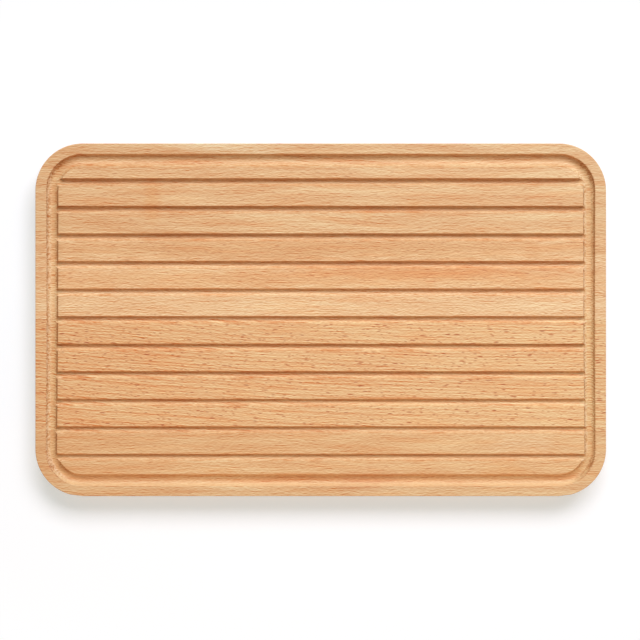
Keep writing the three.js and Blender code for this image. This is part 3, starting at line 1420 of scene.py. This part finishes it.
@dataclass
class Studio:
    """A white sheet under a wide soft lamp from the rear, seen from straight above.

    The share of a light says how bright it alone makes a white sheet that lies flat, or that faces it
    in the case of the reflector, where 1 is white.
    """

    camera_rise: float = 1.2
    view_width: float = 448.4 * MM
    aim: Span = (-0.5 * MM, -0.15 * MM)
    sensor: float = 36.0
    lamp_share: float = 0.78
    lamp_distance: float = 3.0
    lamp_height: float = math.radians(50)
    lamp_turn: float = math.radians(17)
    lamp_half_width: float = math.radians(38)
    lamp_half_height: float = math.radians(13)
    fill_share: float = 0.36
    fill_place: Size = (0.0, -0.62, 0.2)
    fill_size: Span = (1.0, 0.24)
    fill_colour: Colour = (1.0, 0.6, 0.28)
    sky_share: float = 0.25
    paper: float = 4.0
    lit_paper: Colour = (1.01, 1.05, 1.11)
    shadow: Colour = (0.385, 0.445, 0.43)
    shadow_reach: Span = (0.045, 0.11)
    glow: float = 0.5

    def build(self, face_height: float) -> None:
        """Makes the camera, the lights, the sky and the floor.

        Args:
            face_height: The height of the board's face.
        """
        bpy.context.scene.view_settings.view_transform = "Standard"
        self._camera(face_height)
        self._lamp()
        place = Vector(self.fill_place)
        self._light("warm_reflector", place, self.fill_size, self.fill_share, self.fill_colour)
        self._sky()
        self._floor()

    def _camera(self, face_height: float) -> None:
        """Hangs the camera over the board.

        Args:
            face_height: The height of the board's face.
        """
        data = bpy.data.cameras.new("camera")
        data.sensor_width = self.sensor
        data.lens = self.sensor * self.camera_rise / self.view_width
        camera = placed("camera", data)
        camera.location = (*self.aim, face_height + self.camera_rise)
        bpy.context.scene.camera = camera

    def _lamp(self) -> None:
        """Hangs the wide soft lamp behind the board and a little to its right."""
        level, rise = math.cos(self.lamp_height), math.sin(self.lamp_height)
        towards = Vector((level * math.sin(self.lamp_turn), level * math.cos(self.lamp_turn), rise))
        width = 2.0 * self.lamp_distance * level * math.sin(self.lamp_half_width)
        height = 2.0 * self.lamp_distance * math.tan(self.lamp_half_height)
        place = towards * self.lamp_distance
        self._light("soft_lamp", place, (width, height), self.lamp_share / rise, WHITE)

    @staticmethod
    def _light(name: str, place: Vector, size: Span, share: float, colour: Colour) -> None:
        """Hangs a flat light that faces the middle of the board.

        Args:
            name: The light's name.
            place: Where it hangs.
            size: Its width and height.
            share: How bright it makes a white sheet that faces it.
            colour: Its colour.
        """
        data = bpy.data.lights.new(name, "AREA")
        data.shape = "RECTANGLE"
        data.size, data.size_y = size
        data.color = colour
        data.energy = share * (math.pi * place.length) ** 2
        light = placed(name, data)
        light.rotation_euler = place.to_track_quat("Z", "Y").to_euler()
        light.location = place

    @staticmethod
    def _seen(graph: ShaderGraph) -> Signal:
        """1 for rays that show the background: to the camera, off gloss or through glass."""
        camera = graph.node("ShaderNodeLightPath", output="Is Camera Ray")
        return camera.at_least(camera.beside("Is Glossy Ray")).at_least(camera.beside("Is Transmission Ray"))

    def _sky(self) -> None:
        """Makes a white background that lights the board only dimly."""
        world = bpy.data.worlds.new("white_room")
        world.use_nodes = True
        graph = ShaderGraph(world.node_tree)
        strength = self.sky_share + (1.0 - self.sky_share) * self._seen(graph)
        sky = graph.node("ShaderNodeBackground", sockets={"Color": WHITE, "Strength": strength})
        graph.node("ShaderNodeOutputWorld", sockets={"Surface": sky})
        bpy.context.scene.world = world

    def _floor(self) -> None:
        """Lays the white sheet that the board rests on.

        Where it is seen, some of its light is its own, so that the board's shadow is pale and warm.
        Past the shadow it is plain white.
        """
        half = self.paper / 2
        corners = [(-half, -half, 0.0), (half, -half, 0.0), (half, half, 0.0), (-half, half, 0.0)]
        mesh = bpy.data.meshes.new("paper")
        mesh.from_pydata(corners, [], [(0, 1, 2, 3)])
        made, graph = blank_material("paper")
        seen = self._seen(graph)
        own = tuple(share / self.glow for share in self.shadow)
        lit = tuple(
            (full * (1.0 - share)) / (1.0 - self.glow) for full, share in zip(self.lit_paper, self.shadow)
        )
        plain = graph.node("ShaderNodeBsdfDiffuse", sockets={"Color": graph.mix(seen, WHITE, lit)})
        glow = graph.node("ShaderNodeEmission", sockets={"Color": own, "Strength": 1.0})
        both = graph.node("ShaderNodeMixShader", sockets={0: seen * self.glow, 1: plain, 2: glow})
        x, y, _ = graph.parts(graph.node("ShaderNodeTexCoord", output="Object"))
        high = CAD_BOX[1]
        away = (abs(x) - high.x).at_least(0.0).hypotenuse((abs(y) - high.y).at_least(0.0))
        clear = graph.node("ShaderNodeEmission", sockets={"Color": WHITE, "Strength": 1.0})
        past_shadow = seen * away.rise(*self.shadow_reach)
        sheet = graph.node("ShaderNodeMixShader", sockets={0: past_shadow, 1: both, 2: clear})
        graph.node("ShaderNodeOutputMaterial", sockets={"Surface": sheet})
        mesh.materials.append(made)
        placed("paper", mesh)


REAR_BEECH = Beech(
    pale=(0.725, 0.44, 0.208),
    heart=(92.0, -52.0),
    ring_width=2.3,
    seed=3.0,
    sway=8.0,
    ripple=1.0,
    line=(9.0, 0.9),
    dark_tone=0.22,
    fibre=(2.4, 0.75),
    fibre_tone=0.9,
    band_tone=0.6,
    cloud_tone=0.16,
    flecks=(
        Flecks(length=6.0, width=1.05, share=0.12, strength=0.7),
        Flecks(length=3.6, width=0.95, share=0.18, strength=0.55),
    ),
    streaks=(
        Streak((-118.0, 84.0), (7.0, 20.0), (0.97, 0.86, 0.74), 0.9),
        Streak((33.0, 74.0), (5.0, 9.0), (0.97, 0.88, 0.78), 0.7),
        Streak((66.0, 78.0), (7.0, 8.0), (0.97, 0.88, 0.78), 0.6),
        Streak((-62.0, 122.0), (50.0, 8.0), (1.08, 1.25, 1.42), 1.0),
    ),
)
REAR_MIDDLE_BEECH = Beech(
    pale=(0.8, 0.513, 0.258),
    heart=(28.0, -70.0),
    ring_width=1.9,
    seed=11.0,
    fibre=(2.4, 0.72),
    band_width=8.0,
    band_tone=0.36,
    cloud_tone=0.12,
    right_tone_and_light=0.015,
    flecks=(
        Flecks(length=5.0, width=1.0, share=0.16, strength=0.8),
        Flecks(length=3.2, width=0.95, share=0.22, strength=0.6),
    ),
    streaks=(
        Streak((0.0, 50.0), (300.0, 11.0), (0.88, 0.77, 0.67), 1.0),
        Streak((0.0, 29.0), (300.0, 8.0), (0.94, 0.83, 0.73), 0.95),
        Streak((76.0, 33.5), (120.0, 7.0), (0.94, 0.76, 0.63), 0.95),
        Streak((-22.0, 10.0), (42.0, 7.0), (1.05, 1.14, 1.2), 1.0),
    ),
)
FRONT_MIDDLE_BEECH = Beech(
    pale=(0.75, 0.436, 0.191),
    heart=(-150.0, -60.0),
    ring_width=1.8,
    seed=23.0,
    follow=(0.33, 1.0, 1.68),
    slope=-0.045,
    bend=0.0002,
    sway=5.0,
    ring_tone=0.5,
    line=(13.0, 0.8),
    line_tone=0.6,
    fibre_tone=1.2,
    band_width=6.0,
    band_tone=0.24,
    right_tone_and_light=0.085,
    cuts=CutBeech(sawn=(0.93, 1.01, 1.04)),
    flecks=(
        Flecks(length=6.0, width=1.2, share=0.22, strength=1.0, tint=(0.6, 0.25, 0.12)),
        Flecks(length=3.8, width=1.0, share=0.3, strength=1.0, tint=(0.62, 0.3, 0.17)),
    ),
)
FRONT_BEECH = Beech(
    pale=(0.728, 0.43, 0.195),
    heart=(-96.0, -48.0),
    ring_width=2.1,
    seed=31.0,
    slope=0.01,
    bend=0.0001,
    ring_tone=0.06,
    line_tone=0.5,
    dark_tone=0.2,
    band_tone=0.45,
    flecks=(Flecks(length=5.0, width=1.0, share=0.2, strength=0.6),),
    streaks=(
        Streak((130.0, -106.0), (22.0, 5.0), (0.99, 0.9, 0.8), 0.8),
        Streak((-70.0, -108.0), (42.0, 16.0), (1.05, 1.12, 1.17), 1.0),
        Streak((34.0, -112.0), (26.0, 13.0), (0.95, 0.86, 0.82), 1.0),
        Streak((142.0, -87.0), (30.0, 8.0), (1.03, 1.1, 1.2), 1.0),
    ),
)
WOODS = {
    "rear_stave": ("rear_beech", REAR_BEECH),
    "rear_middle_stave": ("rear_middle_beech", REAR_MIDDLE_BEECH),
    "front_middle_stave": ("front_middle_beech", FRONT_MIDDLE_BEECH),
    "front_stave": ("front_beech", FRONT_BEECH),
}


@dataclass
class BreadBoard:
    """The whole board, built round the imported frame."""

    panel: Panel
    staves: list[Stave]

    @classmethod
    def from_frame(cls) -> "BreadBoard":
        """Reads the board's size and its glue lines from the frame.

        Returns:
            The board, ready to build.
        """
        low, high = CAD_BOX
        boxes = {node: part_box(node) for node in WOODS}
        joints = tuple(sorted(box[0].y for box in boxes.values()))[1:]
        staves = [
            Stave(node, slot, beech, boxes[node][0].y, boxes[node][1].y)
            for node, (slot, beech) in WOODS.items()
        ]
        return cls(Panel(high.x - low.x, high.y - low.y, high.z - low.z, joints), staves)

    def build(self) -> None:
        """Builds every stave, from the rear to the front."""
        skin = self.panel.skin()
        for stave in self.staves:
            piece = stave.build(skin, self.panel.joints)
            log.info("%s: %d faces", piece.name, len(piece.data.polygons))


def main() -> None:
    """Builds the board and the studio round it."""
    logging.basicConfig(level=logging.INFO)
    board = BreadBoard.from_frame()
    board.build()
    Studio().build(CAD_BOX[1].z)
    log.info("studio: camera, lamp, sky and floor")


if __name__ == "__main__":
    main()
